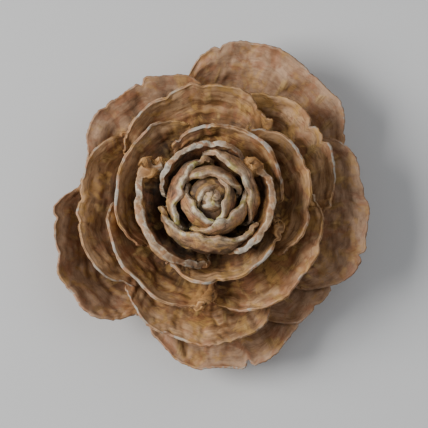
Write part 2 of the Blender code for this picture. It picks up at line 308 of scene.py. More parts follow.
def fine_creases(draw, x, y):
    """How deep each point lies in a net of creases, from 0 to 1.

    A crease runs where a rough surface passes through zero: e to the minus the square of its height over
    the crease's width. Deep ones run any way. In some patches they are weaker, and faint ones run along.
    """
    lengthwise = waves(draw, x, y, *CREASES_ALONG)
    any_way = all_ways(draw, x, CREASE_STRETCH * y, *CREASES_ANY_WAY)
    patch = rise(0.5 + 0.5 * all_ways(draw, x, y, *CREASE_PATCHES))
    faint = FAINT_CREASE * np.exp(-((lengthwise / CREASE_WIDTH) ** 2)) * patch
    deep = np.exp(-((any_way / CREASE_WIDTH) ** 2)) * (1.0 - CREASE_GIVES_WAY * patch)
    return np.maximum(faint, deep)


def fibre_relief(draw, scale, u, s):
    """Fine ridges, about -1 to 1 high: waves across the scale that hardly change along it, times a
    patchy strength, fading in from the claw."""
    x = u * scale.half_width
    y = s * scale.rim_radius
    ridges = waves(draw, x, y, *FIBRE_WAVES)
    strength = FIBRE_MEAN + FIBRE_SPREAD * waves(draw, y, x, *FIBRE_PATCHES)
    return ridges * strength * rise(s, 0.0, FIBRE_FROM)


def growth_bands(draw, x, inwards):
    """Low swells that follow the margin: waves going inwards from it, times a patchy strength."""
    swells = waves(draw, inwards, x, *BAND_WAVES)
    return swells * rise(BAND_MEAN + BAND_SPREAD * all_ways(draw, x, inwards, *BAND_PATCHES))


def seed_hollows(u, s):
    """Two hollows side by side, bells that fall off as e to the minus the square of the distance."""
    across = (np.abs(u) - HOLLOW_ACROSS) / HOLLOW_WIDE
    along = (s - HOLLOW_ALONG) / HOLLOW_LONG
    return -HOLLOW_DEPTH * np.exp(-(across**2) - along**2)


# %% [markdown]
# ## Papery flakes
# When the winged seeds flew off, they left scraps of thin golden skin on the scales. Each could be a
# mesh of its own, but they lie close. So a scrap is where a rough surface rises over a level, which
# makes its outline ragged. It stands a little proud of the face and has its own colour.

# %% Flakes of seed wing
FLAKE_HEIGHT, FLAKE_RIPPLES, FLAKE_STRETCH = 0.12 * MM, (12, 7.0 * MM, 0.9 * MM), 0.55
FLAKE_RISE, FLAKES_UP, FLAKES_IN = (0.75, 0.7), (0.34, 0.16), (0.9 * MM, 1.0 * MM)


def wing_flakes(draw, x, y, s, edge):
    """Where flakes lie, from 0 to 1: on the middle of the scale, and clear of its margin."""
    rough = all_ways(draw, x, FLAKE_STRETCH * y, *FLAKE_RIPPLES)
    return rise(rough * (rise(s, *FLAKES_UP) * rise(edge, *FLAKES_IN)), *FLAKE_RISE)


# %% [markdown]
# ## Folds, wrinkles and torn corners
# A scale buckles as it dries. Broad folds bend the whole sheet, less near the margin, and wrinkles
# roughen it in patches. Where a scale was rubbed, its upper corners are torn: thick, lumpy and lifted.
# All this moves both faces together, so it is worked out for the middle surface.

# %% Bending and thickness of the sheet
FOLD, FOLD_LOW, LOW_UP_TO = 0.42 * MM, 0.50 * MM, 0.3
FOLD_RIPPLES, FOLD_WAVES = (10, 13.0 * MM, 5.0 * MM), (5, 16.0 * MM, 5.0 * MM, 0.4)
FOLDS_ANY_WAY, FOLD_STRETCH, FOLDS_ALONG = 0.85, 0.9, 0.12
FOLDS_UP, CALM_BUD, CALM_MARGIN, CALM_LENGTH = (0.3, 0.6), 0.6, 0.45, 2.5 * MM
WRINKLE, WRINKLE_RIPPLES, WRINKLES_UP = 0.09 * MM, (10, 4.5 * MM, 1.3 * MM), (0.3, 0.4)
WRINKLE_PATCHES, PATCH_LEVEL, WRINKLE_LEAST, WRINKLE_MORE = (4, 18.0 * MM, 8.0 * MM), 0.7, 0.35, 1.5
LUMP_WAVES, TORN_LUMPS, BUD_LUMPS = (5, 3.6 * MM, 1.2 * MM, 0.5), 0.45 * MM, 0.10 * MM
TORN_CORNERS = {10: (0.2, 0.9), 13: (0.2, 1.0), 15: (1.0, 0.3), 16: (0.3, 1.0)}
MOST_TORN, TORN_THICKER, TORN_LIFT = 0.5, 1.1, 1.5 * MM
TORN_OUT, TORN_UP = (0.62, 0.25), (0.55, 0.4)
THIN_CORNERS, CORNER_THIN_POWER = 0.35, 5
TAPER_LOW, TAPER_BUD, TAPER_LENGTH = 0.44, 0.30, 1.5 * MM


def torn_corners(draw, scale, u, v):
    """How torn each point is, from 0 to 1: it rises to both upper corners, each in its own strength."""
    left, right = TORN_CORNERS.get(scale.number, draw.uniform(0.0, MOST_TORN, 2))
    return np.where(u < 0, left, right) * rise(np.abs(u), *TORN_OUT) * rise(v, *TORN_UP)


def worn_thickness(thickness, u, share, torn, edge, bud):
    """The thickness, less in the corners by the fifth power of u, more where torn, and tapering to the
    edge as e to the minus the distance over the taper's length."""
    thickness = thickness * (1.0 - THIN_CORNERS * np.abs(u) ** CORNER_THIN_POWER * share * (1.0 - torn))
    thickness = thickness * (1.0 + TORN_THICKER * torn**2)
    taper = TAPER_LOW + (TAPER_BUD - TAPER_LOW) * bud
    return thickness * (1.0 - taper * np.exp(-edge / TAPER_LENGTH))


def broad_folds(draw, scale, x, y, s, edge, bud):
    """The folds, about -1 to 1 high, and how far they move the sheet, in metres."""
    depth = FOLD + (FOLD_LOW - FOLD) * rise(1.0 - scale.t / LOW_UP_TO)
    folds = FOLDS_ANY_WAY * all_ways(draw, x, FOLD_STRETCH * y, *FOLD_RIPPLES)
    folds = folds + FOLDS_ALONG * waves(draw, x, y, *FOLD_WAVES)
    depth = depth * scale.size * (1.0 - CALM_BUD * bud)
    depth = depth * (1.0 - CALM_MARGIN * np.exp(-edge / CALM_LENGTH))
    return folds, depth * rise(s, *FOLDS_UP) * folds


def wrinkles_and_lumps(draw, scale, x, y, s, torn, bud):
    """The wrinkles, about -1 to 1 high, and how far they and the lumps move the sheet, in metres."""
    lumps = (TORN_LUMPS * torn + BUD_LUMPS * bud) * waves(draw, x, y, *LUMP_WAVES)
    wrinkles = all_ways(draw, x, y, *WRINKLE_RIPPLES)
    patch = rise(all_ways(draw, x, y, *WRINKLE_PATCHES) / PATCH_LEVEL + torn)
    wrinkles = wrinkles * (WRINKLE_LEAST + WRINKLE_MORE * patch)
    return wrinkles, lumps + WRINKLE * scale.size * rise(s, *WRINKLES_UP) * wrinkles


# %% [markdown]
# ## From a sheet to a closed shell
# The sheet gets its thickness by moving a copy to each side along its normals. A Solidify modifier
# makes square edges. Here the two faces round off towards the edge like the end of a worn board, and a
# strip closes them. The grid is finer there, because a round edge needs a few narrow rows.

# %% Grid, normals and rest
ACROSS_STEP, ALONG_STEP, LEAST_STEPS = 0.40 * MM, 0.48 * MM, 4
EDGE_STEPS = np.array((0.62, 0.4, 0.24, 0.12, 0.04, 0.0)) * MM
BELLY_GAP, BELLY_CORE = 0.05 * MM, 0.5


def with_fine_ends(length, step, both):
    """Places from 0 to 1 along a length: even steps, and the fine edge steps at the end, or at both."""
    ends = 1.0 - EDGE_STEPS / length
    first = 1.0 - ends[0] if both else 0.0
    even = np.linspace(first, ends[0], max(LEAST_STEPS, round((ends[0] - first) * length / step)))
    return np.concatenate([(1.0 - ends[:0:-1]) if both else [], even, ends[1:]])


def normals(points):
    """Unit normals of a grid of points, from the cross product of its two directions."""
    across, along = np.gradient(points, axis=1), np.gradient(points, axis=0)
    normal = np.cross(across, along)
    return normal / np.linalg.norm(normal, axis=-1, keepdims=True)


def rest_on_surface(points, u, v, thickness):
    """Bend a resting scale's belly down until the lowest point of its back is just over the surface."""
    belly = np.sin(math.pi * v) * (1.0 - u * u)
    back = points[..., 2] - thickness / 2 - BELLY_GAP
    core = belly > BELLY_CORE
    points[..., 2] -= (back[core] / belly[core]).min() * belly
    return points


# %% The two faces of one scale
LENGTH_OVER_REACH, THIN_FROM = 1.15, 0.6
SIDE_RAGGED, SIDE_WAVES = 0.022, (6, 0.5, 0.05, 0.0)
UNEVEN, UNEVEN_WAVES = 0.14, (5, 9.0 * MM, 2.5 * MM, 0.8)
BUD_RISE = (0.5, 0.25)
ROUND_SHARE, MOST_ROUND, SHARPER_BUD = 0.34, 0.20 * MM, 0.4
WORN_EDGE, GRAIN_APART = 0.8 * MM, 57.0
# Shares of wrinkles, folds and bands in the relief that gets a painted highlight
WRINKLES_SEEN, FOLDS_SEEN, BANDS_SEEN = 0.5, 0.4, 0.5


def scale_surface(scale):
    """The two faces of a scale as grids of points, and what its wood needs to know at each point.

    A face is the middle surface moved along its normals by half the thickness, plus the relief. At the
    edge the half thickness follows a quarter circle, so the rim has rounded corners.
    """
    draw = np.random.default_rng((SEED, scale.place))
    width, size = scale.half_width, scale.size
    out, up = scale.rim_radius - scale.root_radius, scale.rim_height - scale.root_height
    length = LENGTH_OVER_REACH * math.hypot(out, up)
    columns = 2.0 * with_fine_ends(2.0 * width, ACROSS_STEP, True) - 1.0
    rows = with_fine_ends(length, ALONG_STEP, False)
    u, v = np.meshgrid(columns, rows)
    ragged = ragged_margin(draw, scale, u)
    left, right = (SIDE_RAGGED * waves(draw, v, 0.0, *SIDE_WAVES) for _ in range(2))
    points, s = scale_sheet(scale, u, v, ragged, np.where(u < 0, left, right))
    x, y = u * width, s * length
    edge = np.minimum((1.0 - np.abs(u)) * width, (1.0 - v) * length)
    bud = rise(scale.t, *BUD_RISE)

    share = rise(v, 0.0, THIN_FROM)
    thickness = scale.claw_thickness + (scale.margin_thickness - scale.claw_thickness) * share
    if scale.rests:
        points = rest_on_surface(points, u, v, thickness)
    uneven = 1.0 + UNEVEN * waves(draw, x, y, *UNEVEN_WAVES)
    torn = torn_corners(draw, scale, u, v)
    thickness = worn_thickness(thickness * uneven, u, share, torn, edge, bud)
    folds, folded = broad_folds(draw, scale, x, y, s, edge, bud)
    wrinkles, lumpy = wrinkles_and_lumps(draw, scale, x, y, s, torn, bud)
    bands = growth_bands(draw, x, (1.0 - v) * length)
    crease = fine_creases(draw, x, y) * rise(edge, 0.0, CREASE_CLEAR)
    points = points + normals(points) * (folded + lumpy)[..., None]
    points[..., 2] += TORN_LIFT * torn**3

    rounding = np.minimum(ROUND_SHARE * thickness, MOST_ROUND * (1.0 - SHARPER_BUD * bud))
    bend = 1.0 - np.clip(edge / rounding, 0.0, 1.0)
    half = thickness / 2 - rounding * (1.0 - np.sqrt(1.0 - bend**2))
    front = FIBRE_FRONT * size * fibre_relief(draw, scale, u, s) + seed_hollows(u, s) * size
    front = front + BAND * size * bands
    flake = wing_flakes(draw, x, y, s, edge) * (1.0 - bud)
    front = front - CREASE_DEPTH * size * crease * (1.0 - flake) + FLAKE_HEIGHT * flake
    back = FIBRE_BACK * size * fibre_relief(draw, scale, u, s)
    out, worn = normals(points), rise(edge, 0.0, WORN_EDGE)
    upper = points - out * (half + front * worn)[..., None]
    under = points + out * (half + back * worn)[..., None]
    under[..., 2] = np.maximum(under[..., 2], BELLY_GAP)
    return upper, under, {
        "grain": np.stack([x / MM + GRAIN_APART * scale.place, v * length / MM], axis=-1),
        "edge": edge / MM,
        "reach": s,
        "torn": torn,
        # Where the creases lie, kept also for the painted shade in them
        "crease": crease,
        "flake": flake,
        # How high the relief stands, kept for the painted highlight on its tops
        "ridge": WRINKLES_SEEN * wrinkles + FOLDS_SEEN * folds + BANDS_SEEN * bands,
        "tint": np.full(s.shape, draw.uniform(-1.0, 1.0)),
    }


# %% Closing the shell
RIM_ROWS, RIM_BULGE = 4, 0.08
RIM_ROUGH, RIM_WAVES = 0.11 * MM, (7, 2.4 * MM, 0.5 * MM, 0.5)


def round_quads(rings):
    """Quads between rings of indices, each closed round."""
    ahead = np.roll(rings, -1, axis=1)
    return np.stack([rings[:-1], ahead[:-1], ahead[1:], rings[1:]], axis=-1).reshape(-1, 4)


def whole_shell(upper, under, looks):
    """A scale's closed shell: both faces and the rim between them, as points, quads and looks.

    The rim is a few rows of points from one face to the other. They bulge outwards as a flat parabola
    and are a little rough, like the blunt weathered end of a board.
    """
    index = np.arange(upper[..., 0].size).reshape(upper.shape[:2])
    count = index.size
    face = np.stack([index[:-1, :-1], index[:-1, 1:], index[1:, 1:], index[1:, :-1]], axis=-1)
    face = face.reshape(-1, 4)
    # The points round the edge of the grid, and the inner neighbour of each
    loop = np.concatenate([index[0, :-1], index[:-1, -1], index[-1, :0:-1], index[:0:-1, 0]])
    inner = np.concatenate([index[1, :-1], index[:-1, -2], index[-2, :0:-1], index[:0:-1, 1]])
    upper, under = upper.reshape(-1, 3), under.reshape(-1, 3)
    middle = (upper + under) / 2
    outward = middle[loop] - middle[inner]
    outward = outward / np.linalg.norm(outward, axis=-1, keepdims=True)
    gap = np.linalg.norm(upper[loop] - under[loop], axis=-1)
    along = np.cumsum(np.linalg.norm(middle[loop] - middle[np.roll(loop, 1)], axis=-1))
    draw = np.random.default_rng(len(loop))
    rim_points, at = [], np.linspace(0.0, 1.0, RIM_ROWS + 2)[1:-1]
    for share in at:
        rough = RIM_ROUGH * waves(draw, along, share * MM, *RIM_WAVES)
        push = (RIM_BULGE * gap + rough) * 4.0 * share * (1.0 - share)
        rim_points.append(upper[loop] + share * (under[loop] - upper[loop]) + outward * push[:, None])
    points = np.concatenate([upper, under, *rim_points])
    rim_rows = 2 * count + np.arange(RIM_ROWS * len(loop)).reshape(RIM_ROWS, -1)
    rims = round_quads(np.stack([loop, *rim_rows, loop + count]))
    flat = {key: value.reshape(count, -1) for key, value in looks.items()}
    flat = {key: np.vstack([value, value] + [value[loop]] * RIM_ROWS) for key, value in flat.items()}
    flat["outer"] = np.concatenate([np.zeros(count), np.ones(count), np.repeat(at, len(loop))])[:, None]
    return points, (np.concatenate([face[:, ::-1], face + count, rims]),), flat


# %% Putting a piece together
def new_object(name, data):
    """A new object, put into the scene."""
    made = bpy.data.objects.new(name, data)
    bpy.context.scene.collection.objects.link(made)
    return made


def mesh_piece(name, shells, material):
    """A new piece from shells of points, faces and looks. The grain is a UV map, the rest attributes."""
    points, faces, looks = zip(*shells)
    starts = np.cumsum([0] + [len(rows) for rows in points])
    parts = [part + start for shell, start in zip(faces, starts) for part in shell]
    corners = np.concatenate([part.ravel() for part in parts])
    faces = [face for part in parts for face in part.tolist()]
    mesh = bpy.data.meshes.new(name)
    mesh.from_pydata(np.concatenate(points).tolist(), [], faces)
    mesh.shade_smooth()
    for key in looks[0]:
        values = np.concatenate([look[key] for look in looks]).astype(np.float32)
        if key == "grain":
            mesh.uv_layers.new(name=key).data.foreach_set("uv", values[corners].ravel())
        else:
            attribute = mesh.attributes.new(name=key, type="FLOAT", domain="POINT")
            attribute.data.foreach_set("value", values.ravel())
    mesh.update()
    mesh.validate()
    mesh.materials.append(material)
    piece = new_object(name, mesh)
    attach(piece, "root")
    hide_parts("cone")
    print(name, "has", sum(len(part) * (part.shape[1] - 2) for part in parts), "triangles")


# %% [markdown]
# ## Shader helpers
# Node trees are long to write out, and small helpers keep them readable. Most add a node and give back
# what it puts out, and one makes a node group. A noise is turned out of line with the axes, or the even
# lattice that it is built on would show as plaid.

# %% Helpers for nodes
ASKEW = (0.7, 0.5, 0.9)


def add(tree, kind, at=None, **values):
    """Add a shader node. at sets its own choices. A value goes to the input of that name, or to input
    number 0 for i0, 1 for i1 and so on."""
    node = tree.nodes.new("ShaderNode" + kind)
    for key, value in (at or {}).items():
        setattr(node, key, value)
    for key, value in values.items():
        socket = node.inputs[int(key[1:])] if key[:1] == "i" and key[1:].isdigit() else node.inputs[key]
        if isinstance(value, bpy.types.NodeSocket):
            tree.links.new(value, socket)
        else:
            socket.default_value = value
    return node


def group(name, inputs, outputs):
    """A node group, with its inputs, as a dictionary of defaults, and its outputs. A vector has no
    default, and all else are values."""
    tree = bpy.data.node_groups.new(name, "ShaderNodeTree")
    for key, default in inputs.items():
        kind = "NodeSocketVector" if default is None else "NodeSocketFloat"
        socket = tree.interface.new_socket(key, in_out="INPUT", socket_type=kind)
        if default is not None:
            socket.default_value = default
    for key in outputs:
        tree.interface.new_socket(key, in_out="OUTPUT", socket_type="NodeSocketFloat")
    print("node group made:", name)
    return tree, tree.nodes.new("NodeGroupInput").outputs, tree.nodes.new("NodeGroupOutput").inputs


def send(sockets, **values):
    """Link values to the sockets of those names."""
    for key, value in values.items():
        value.id_data.links.new(value, sockets[key])


def maths(operation, first, second=0.0, clamp=False):
    """A Math node's result, in the node tree of whichever value is a socket."""
    tree = (first if isinstance(first, bpy.types.NodeSocket) else second).id_data
    at = {"operation": operation, "use_clamp": clamp}
    return add(tree, "Math", at, i0=first, i1=second).outputs[0]


def plus(first, second):
    """The sum of two values."""
    return maths("ADD", first, second)


def times(first, second):
    """The product of two values."""
    return maths("MULTIPLY", first, second)


def rest_of(value):
    """1 less a value."""
    return maths("SUBTRACT", 1.0, value)


def blend(amount, first, second, how="MIX"):
    """Two colours mixed by an amount. A Mix node takes them at its inputs 6 and 7."""
    tree = (amount if isinstance(amount, bpy.types.NodeSocket) else first).id_data
    at = {"data_type": "RGBA", "blend_type": how}
    return add(tree, "Mix", at, i0=amount, i6=first, i7=second).outputs[2]


def step(value, low, high):
    """0 up to low, 1 from high, smooth between."""
    at = {"interpolation_type": "SMOOTHSTEP"}
    return add(value.id_data, "MapRange", at, i0=value, i1=low, i2=high).outputs[0]


def askew(vector):
    """A vector turned out of line with all three axes."""
    return add(vector.id_data, "Mapping", Vector=vector, Rotation=ASKEW).outputs[0]


def noise(vector, scale, detail, rough=0.5, distortion=0.0):
    """A noise, mostly between 0.3 and 0.7."""
    values = {"Scale": scale, "Detail": detail, "Roughness": rough, "Distortion": distortion}
    return add(vector.id_data, "TexNoise", Vector=vector, **values).outputs[0]


# %% [markdown]
# ## Wood fibre, as a node group
# Fibres show as streaks that run along the scale. The grain map holds millimetres across and along
# each scale, so noise that is squeezed across and stretched along gives streaks that fan out with it.
# Each wood uses the group a second time with other values, for bands that follow the margin.

# %% Node group: fibre
BROAD_FIBRE, FINE_FIBRE, SPLITS = (1.0, 5.0, 0.6, 0.3), (4.0, 3.0, 0.6), (1.7, 2.0, 0.5, 0.4)
BROAD_SHARE, FINE_SHARE, STREAK_SPAN, CRACK_WIDTH = 0.8, 0.2, (0.39, 0.61), 0.035


def fibre_group():
    """Streaks from 0 to 1 along the grain, their height for a bump, and thin dark cracks between them.

    The streaks are a broad noise and a fine one. A crack is where a third is very near its middle.
    """
    inputs = {"Vector": None, "Across": 0.62, "Along": 0.085}
    tree, given, result = group("fibre", inputs, ("Streaks", "Height", "Cracks"))
    squeeze = add(tree, "CombineXYZ", X=given["Across"], Y=given["Along"], Z=1.0).outputs[0]
    at = {"operation": "MULTIPLY"}
    place = askew(add(tree, "VectorMath", at, i0=given["Vector"], i1=squeeze).outputs[0])
    broad, fine = noise(place, *BROAD_FIBRE), noise(place, *FINE_FIBRE)
    mixed = plus(times(broad, BROAD_SHARE), times(fine, FINE_SHARE))
    away = maths("ABSOLUTE", maths("SUBTRACT", noise(place, *SPLITS), 0.5))
    cracks = rest_of(step(away, 0.0, CRACK_WIDTH))
    send(result, Streaks=step(mixed, *STREAK_SPAN), Height=mixed, Cracks=cracks)
    return tree


FIBRE = fibre_group()

# %% [markdown]
# ## Weathering, as a node group
# Edges that stand out lose their brown first: rain and light leave them pale and grey. The group takes
# how near the edge a point is, and breaks the pale line up with noise, so that it doesn't look painted.

# %% Node group: weathering
FINE_WEAR, PATCHY_WEAR = (900.0, 4.0, 0.65), (125.0, 4.0, 0.62)
BROAD_WEAR, HUES = (95.0, 3.0), (480.0, 3.0, 0.6)
RIM_LEAST, RIM_UNEVEN, LINE_SPAN = 0.35, 1.3, (0.35, 1.15)
MISSING_SPAN, OPEN_SPAN, HUE_SPAN = (0.40, 0.54), (0.42, 0.68), (0.34, 0.66)


def weathering_group():
    """How bleached a point is, from 0 to 1, by its distance to the edge in millimetres and uneven noise.

    Rim is how far in from the edge the bleaching reaches, Broken how much of the line is missing, and
    Open how far the face away from the edge is bleached. Hue picks one of the bleached colours.
    """
    inputs = {"Vector": None, "Edge": 5.0, "Rim": 0.5, "Broken": 0.5, "Open": 0.3}
    tree, given, result = group("weathering", inputs, ("Pale", "Hue"))
    fine, patchy, broad, hue = (
        noise(given["Vector"], *row) for row in (FINE_WEAR, PATCHY_WEAR, BROAD_WEAR, HUES)
    )
    reach_in = times(given["Rim"], plus(RIM_LEAST, times(fine, RIM_UNEVEN)))
    inside = maths("DIVIDE", given["Edge"], reach_in)
    missing = times(step(patchy, *MISSING_SPAN), given["Broken"])
    line = times(rest_of(step(inside, *LINE_SPAN)), rest_of(missing))
    open_part = times(step(broad, *OPEN_SPAN), given["Open"])
    send(result, Pale=maths("MAXIMUM", line, open_part), Hue=step(hue, *HUE_SPAN))
    return tree


WEATHERING = weathering_group()

# %% [markdown]
# ## Mottling, as a node group
# Dry cone wood is never one brown. Patches a few millimetres wide are redder or more golden, and each
# is lighter or darker than the next. Four noises of different sizes give that, two for the lightness
# and one for each colour. Each scale has its own shift, so neighbours differ a little as well.

# %% Node group: mottling
LIGHT_BROAD, LIGHT_PATCH = (120.0, 3.0, 0.55), (175.0, 4.0, 0.6, 0.4)
GOLDEN_PATCH, RED_PATCH = (260.0, 4.0, 0.6, 0.6), (210.0, 4.0, 0.6, 0.8)
LIGHT_SPAN, GOLDEN_SPAN, RED_SPAN, TINT_SHARE = (0.32, 0.68), (0.51, 0.62), (0.50, 0.62), 0.16


def mottling_group():
    """Lightness of the wood from 0 to 1, and where it is golden and where red."""
    inputs = {"Vector": None, "Tint": 0.0}
    tree, given, result = group("mottling", inputs, ("Light", "Golden", "Red"))
    broad, patch, golden, red = (
        noise(given["Vector"], *row) for row in (LIGHT_BROAD, LIGHT_PATCH, GOLDEN_PATCH, RED_PATCH)
    )
    light = step(plus(times(broad, 0.5), times(patch, 0.5)), *LIGHT_SPAN)
    light = plus(light, times(given["Tint"], TINT_SHARE))
    send(result, Light=light, Golden=step(golden, *GOLDEN_SPAN), Red=step(red, *RED_SPAN))
    return tree


MOTTLING = mottling_group()

# %% [markdown]
# ## The wood of the scales
# Deep between the scales the wood is painted near-black, as painted shade. Towards the margin it turns
# lighter, with ochre and reddish patches, and the edge itself is a pale grey tan. High relief is
# painted lighter and golden, as painted highlight, and the creases darker, as painted shade. A painted
# picture could hold all that, but here every change comes from the grain, the reach along the scale,
# its relief and noise, which need no unwrapping and are sharp at any distance.

# %% Colours of the wood
# Near-black: the painted shade deep between the scales, and also the colour of the dark cracks
SHADE_AND_CRACK_DARK = (0.016, 0.006, 0.002, 1.0)
GOLDEN, RED = (0.480, 0.262, 0.078, 1.0), (0.310, 0.118, 0.052, 1.0)
TORN = (0.520, 0.270, 0.095, 1.0)
FLAKE_DARK, FLAKE_LIGHT = (0.240, 0.125, 0.036, 1.0), (0.620, 0.400, 0.150, 1.0)
GREY, ROSY = (0.400, 0.352, 0.290, 1.0), (0.42, 0.235, 0.14, 1.0)
CREAM, GREENISH = (0.58, 0.50, 0.37, 1.0), (0.47, 0.41, 0.14, 1.0)
WARM_TONES = ((0.080, 0.033, 0.011, 1.0), (0.225, 0.102, 0.034, 1.0), (0.500, 0.296, 0.150, 1.0))
PINKISH_TONES = ((0.120, 0.051, 0.022, 1.0), (0.280, 0.148, 0.076, 1.0), (0.450, 0.280, 0.170, 1.0))
BUD_TONES = ((0.100, 0.047, 0.020, 1.0), (0.300, 0.160, 0.078, 1.0), (0.460, 0.290, 0.165, 1.0))

# %% Steps of the wood's colour
BAND_ACROSS, BAND_ALONG = 0.09, 0.42
# Weights of lightness: by reach, a painted shade deep between the scales; by ridge, a painted highlight
# on high relief; by crease, a painted shade in the creases. Fibre and mottle are the wood's own.
REACH_SHADE, LIGHT_FIBRE, LIGHT_MOTTLE, RIDGE_HIGHLIGHT, CREASE_SHADE = 0.66, 0.12, 0.26, 0.09, 0.18
STREAK_MEAN, DARK_AT, MIDDLE_AT = 0.6, 0.32, 0.66
HIGHLIGHT_SPAN, RED_SHARE, FLAKE_SHARE, TORN_LEAST = (0.5, 1.5), 0.55, 0.65, 0.35
LIT_LEAST, LIT_BEFORE, LIT_AFTER = 0.25, 0.25, 0.1
FRONT_UP_TO, RIM_SPAN, BARE_SHARE = 0.1, (0.03, 0.14), 0.85
SECOND_HUE, THIRD_HUE = (0.3, 0.5), (0.6, 0.8)
SPECKS, SPECKS_FROM, SPECKS_TO = (1150.0, 5.0, 0.72), 0.3, 0.7
ROUGH, SMOOTHER_FIBRE, SPECULAR = 0.74, 0.20, 0.4
BUMP_FIBRE, BUMP_SPECKS, BUMP_STRENGTH, BUMP_HEIGHT = 0.25, 0.25, 0.45, 0.25 * MM


def brown_wood(look, fibre, band, mottle, tones, deep, streak, base):
    """The brown by how light a point is: a weighted sum of reach, streaks, mottling and relief, looked
    up in a row of colours. Low reach gives painted shade deep between the scales, high relief a painted
    highlight, and creases painted shade."""
    # Painted shade: the wood stays at its darkest up to deep along the scale and lightens towards the
    # margin
    light = times(step(look["reach"], deep, 1.0), REACH_SHADE)
    for value, weight in (
        (band["Streaks"], streak),
        (fibre["Streaks"], LIGHT_FIBRE * streak),
        (mottle["Light"], LIGHT_MOTTLE),
        # Painted highlight on high relief
        (look["ridge"], RIDGE_HIGHLIGHT),
        # Painted shade in the creases
        (look["crease"], -CREASE_SHADE),
    ):
        light = plus(light, times(value, weight))
    light = maths("ADD", light, base - STREAK_MEAN * streak, clamp=True)
    node = add(light.id_data, "ValToRGB", i0=light)
    stops = node.color_ramp.elements
    stops[0].color, stops[1].color = SHADE_AND_CRACK_DARK, tones[2]
    for at, tone in ((DARK_AT, tones[0]), (MIDDLE_AT, tones[1])):
        stops.new(at).color = tone
    return node.outputs[0]


def with_patches(look, fibre, mottle, colour, deep, golden):
    """Golden on its patches and, as painted highlight, on high relief, and red on its own, both weaker
    in the painted shade of the depth. Then the skin of the flakes, on the upper face."""
    # Painted shade: the patches fade where the scale lies deep between its neighbours
    lit = step(look["reach"], deep - LIT_BEFORE, deep + LIT_AFTER)
    lit = plus(LIT_LEAST, times(lit, 1.0 - LIT_LEAST))
    # Painted highlight: gold also where the relief stands high, beside the real golden patches
    gold = maths("MAXIMUM", mottle["Golden"], step(look["ridge"], *HIGHLIGHT_SPAN))
    colour = blend(times(times(gold, golden), lit), colour, GOLDEN)
    colour = blend(times(times(mottle["Red"], RED_SHARE), lit), colour, RED)
    flake = times(look["flake"], maths("LESS_THAN", look["outer"], FRONT_UP_TO))
    skin = blend(fibre["Streaks"], FLAKE_DARK, FLAKE_LIGHT)
    return blend(times(flake, FLAKE_SHARE), colour, skin)


def with_wear(look, fibre, band, worn, colour, tones, pales, cracked):
    """Torn wood, then the bleached edge in one of three colours. Between the faces, where outer is
    between 0 and 1, the rim is plain brown unless it is bleached. The cracks are dark."""
    ragged = plus(TORN_LEAST, fibre["Streaks"])
    torn = maths("MULTIPLY", look["torn"], ragged, clamp=True)
    colour = blend(torn, colour, TORN)
    pale = blend(step(worn["Hue"], *SECOND_HUE), pales[0], pales[1])
    pale = blend(step(worn["Hue"], *THIRD_HUE), pale, pales[2])
    bleach = times(worn["Pale"], rest_of(torn))
    colour = blend(bleach, colour, pale)
    between_faces = times(look["outer"], rest_of(look["outer"]))
    bare = times(step(between_faces, *RIM_SPAN), rest_of(bleach))
    colour = blend(times(bare, BARE_SHARE), colour, tones[1])
    crack = maths("MULTIPLY", band["Cracks"], rest_of(bleach), clamp=True)
    return blend(times(crack, cracked), colour, SHADE_AND_CRACK_DARK)


# %% Material: scale wood
def scale_wood(
    name, *, tones, pales, deep, rim, broken, open_face, streak, cracked, base, golden, specked
):
    """Weathered scale wood.

    tones are its dark, middle and light browns, and pales its three bleached colours. deep is the share
    of its length up to which the scale is painted dark, as painted shade between its neighbours. rim is
    how many millimetres the bleached edge reaches in and broken how much of it is missing. open_face
    says how far the open face is bleached, streak how strong the bands and fibres show and cracked the
    cracks, base its lightness, golden its gold, on its patches and as painted highlight on high relief,
    and specked the range of lightness of its specks.
    """
    material = bpy.data.materials.new(name)
    material.use_nodes = True
    tree = material.node_tree
    shader = tree.nodes["Principled BSDF"]
    look = {
        key: add(tree, "Attribute", {"attribute_name": key}).outputs["Fac"]
        for key in ("edge", "reach", "torn", "tint", "outer", "crease", "ridge", "flake")
    }
    grain = add(tree, "UVMap", {"uv_map": "grain"}).outputs[0]
    place = askew(add(tree, "TexCoord").outputs["Object"])

    def use(effect, **values):
        """What a node group puts out, given these values."""
        return add(tree, "Group", {"node_tree": effect}, **values).outputs

    fibre = use(FIBRE, Vector=grain)
    band = use(FIBRE, Vector=grain, Across=BAND_ACROSS, Along=BAND_ALONG)
    mottle = use(MOTTLING, Vector=place, Tint=look["tint"])
    worn = use(WEATHERING, Vector=place, Edge=look["edge"], Rim=rim, Broken=broken, Open=open_face)
    colour = brown_wood(look, fibre, band, mottle, tones, deep, streak, base)
    colour = with_patches(look, fibre, mottle, colour, deep, golden)
    colour = with_wear(look, fibre, band, worn, colour, tones, pales, cracked)
    speck, (low, high) = noise(place, *SPECKS), specked
    shade = add(tree, "MapRange", i0=speck, i1=SPECKS_FROM, i2=SPECKS_TO, i3=low, i4=high).outputs[0]
    shade = add(tree, "CombineColor", i0=shade, i1=shade, i2=shade).outputs[0]
    tree.links.new(blend(1.0, colour, shade, "MULTIPLY"), shader.inputs["Base Color"])
    rough = maths("SUBTRACT", ROUGH, times(fibre["Streaks"], SMOOTHER_FIBRE))
    tree.links.new(rough, shader.inputs["Roughness"])
    shader.inputs["Specular IOR Level"].default_value = SPECULAR
    height = plus(times(fibre["Height"], BUMP_FIBRE), band["Height"])
    height = plus(height, times(speck, BUMP_SPECKS))
    bump = add(tree, "Bump", Strength=BUMP_STRENGTH, Distance=BUMP_HEIGHT, Height=height)
    tree.links.new(bump.outputs[0], shader.inputs["Normal"])
    return material
